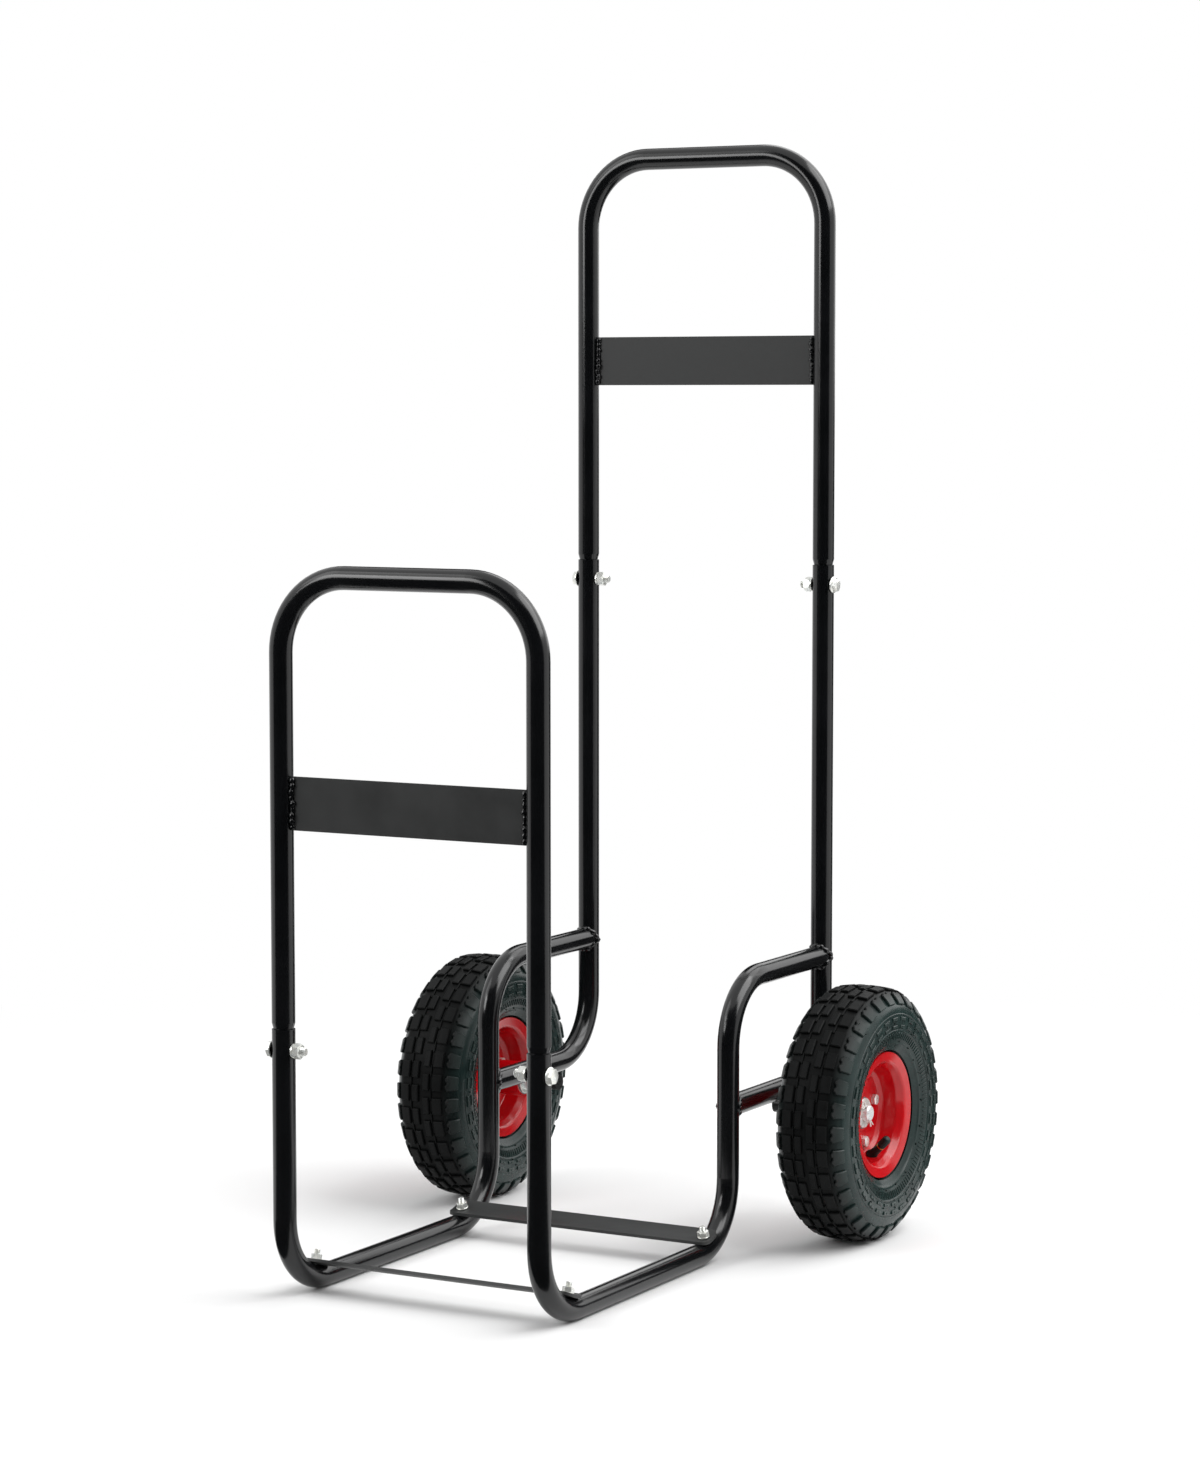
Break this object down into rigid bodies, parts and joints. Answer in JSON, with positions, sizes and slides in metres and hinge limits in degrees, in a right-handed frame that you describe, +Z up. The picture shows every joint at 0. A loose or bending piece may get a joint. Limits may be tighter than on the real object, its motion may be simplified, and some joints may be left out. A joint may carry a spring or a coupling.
{
  "type": "firewood log rack",
  "caption": "Bent-tube firewood log rack on air-filled wheels: open cradle between a low front hoop and a tall handle hoop, with a shelf over the axle.",
  "frame": {"origin": "on the floor, under the middle of the rack's box", "axes": "+X to the right seen from the front hoop, +Y from the front hoop back to the handle, +Z up"},
  "size_m": [0.52, 0.639, 1.099],
  "materials": {
    "black_tube": "semi-gloss black powder coat",
    "black_flat_steel": "satin black powder coat",
    "zinc_plate": "bright zinc plate",
    "axle_steel": "zinc-plated rod",
    "bearing_steel": "ground steel",
    "red_enamel": "gloss red enamel",
    "tyre_rubber": "matt moulded rubber",
    "butyl_rubber": "smooth rubber",
    "valve_rubber": "moulded rubber and plastic"
  },
  "bodies": {
    "frame": {"axle_spacers": "axle_steel", "axle_washers": "zinc_plate", "front_cross_slat": "black_flat_steel", "front_hoop": "black_tube", "front_hoop_bar": "black_flat_steel", "hoop_bolts": "zinc_plate", "hoop_nuts": "zinc_plate", "hoop_spring_washers": "zinc_plate", "left_rear_leg": "black_tube", "left_side_rail": "black_tube", "left_stub_axle": "axle_steel", "rear_cross_slat": "black_flat_steel", "rear_hoop": "black_tube", "rear_hoop_bar": "black_flat_steel", "right_rear_leg": "black_tube", "right_side_rail": "black_tube", "right_stub_axle": "axle_steel", "slat_nuts": "zinc_plate", "slat_studs": "zinc_plate", "slat_washers": "zinc_plate", "split_pins": "zinc_plate"},
    "left_wheel": {"left_hub_sleeve": "red_enamel", "left_inner_rim_half": "red_enamel", "left_inner_tube": "butyl_rubber", "left_outer_rim_half": "red_enamel", "left_rim_bolts": "zinc_plate", "left_rim_nuts": "zinc_plate", "left_tyre": "tyre_rubber", "left_valve_cap": "valve_rubber", "left_valve_stem": "valve_rubber", "left_wheel_bearings": "bearing_steel"},
    "right_wheel": {"right_hub_sleeve": "red_enamel", "right_inner_rim_half": "red_enamel", "right_inner_tube": "butyl_rubber", "right_outer_rim_half": "red_enamel", "right_rim_bolts": "zinc_plate", "right_rim_nuts": "zinc_plate", "right_tyre": "tyre_rubber", "right_valve_cap": "valve_rubber", "right_valve_stem": "valve_rubber", "right_wheel_bearings": "bearing_steel"}
  },
  "joints": [
    {"name": "left_wheel_spin", "type": "hinge", "parent": "frame", "child": "left_wheel", "pos_m": [-0.219, 0.1915, 0.128], "axis": [1, 0, 0], "continuous": true},
    {"name": "right_wheel_spin", "type": "hinge", "parent": "frame", "child": "right_wheel", "pos_m": [0.219, 0.1915, 0.128], "axis": [1, 0, 0], "continuous": true}
  ]
}
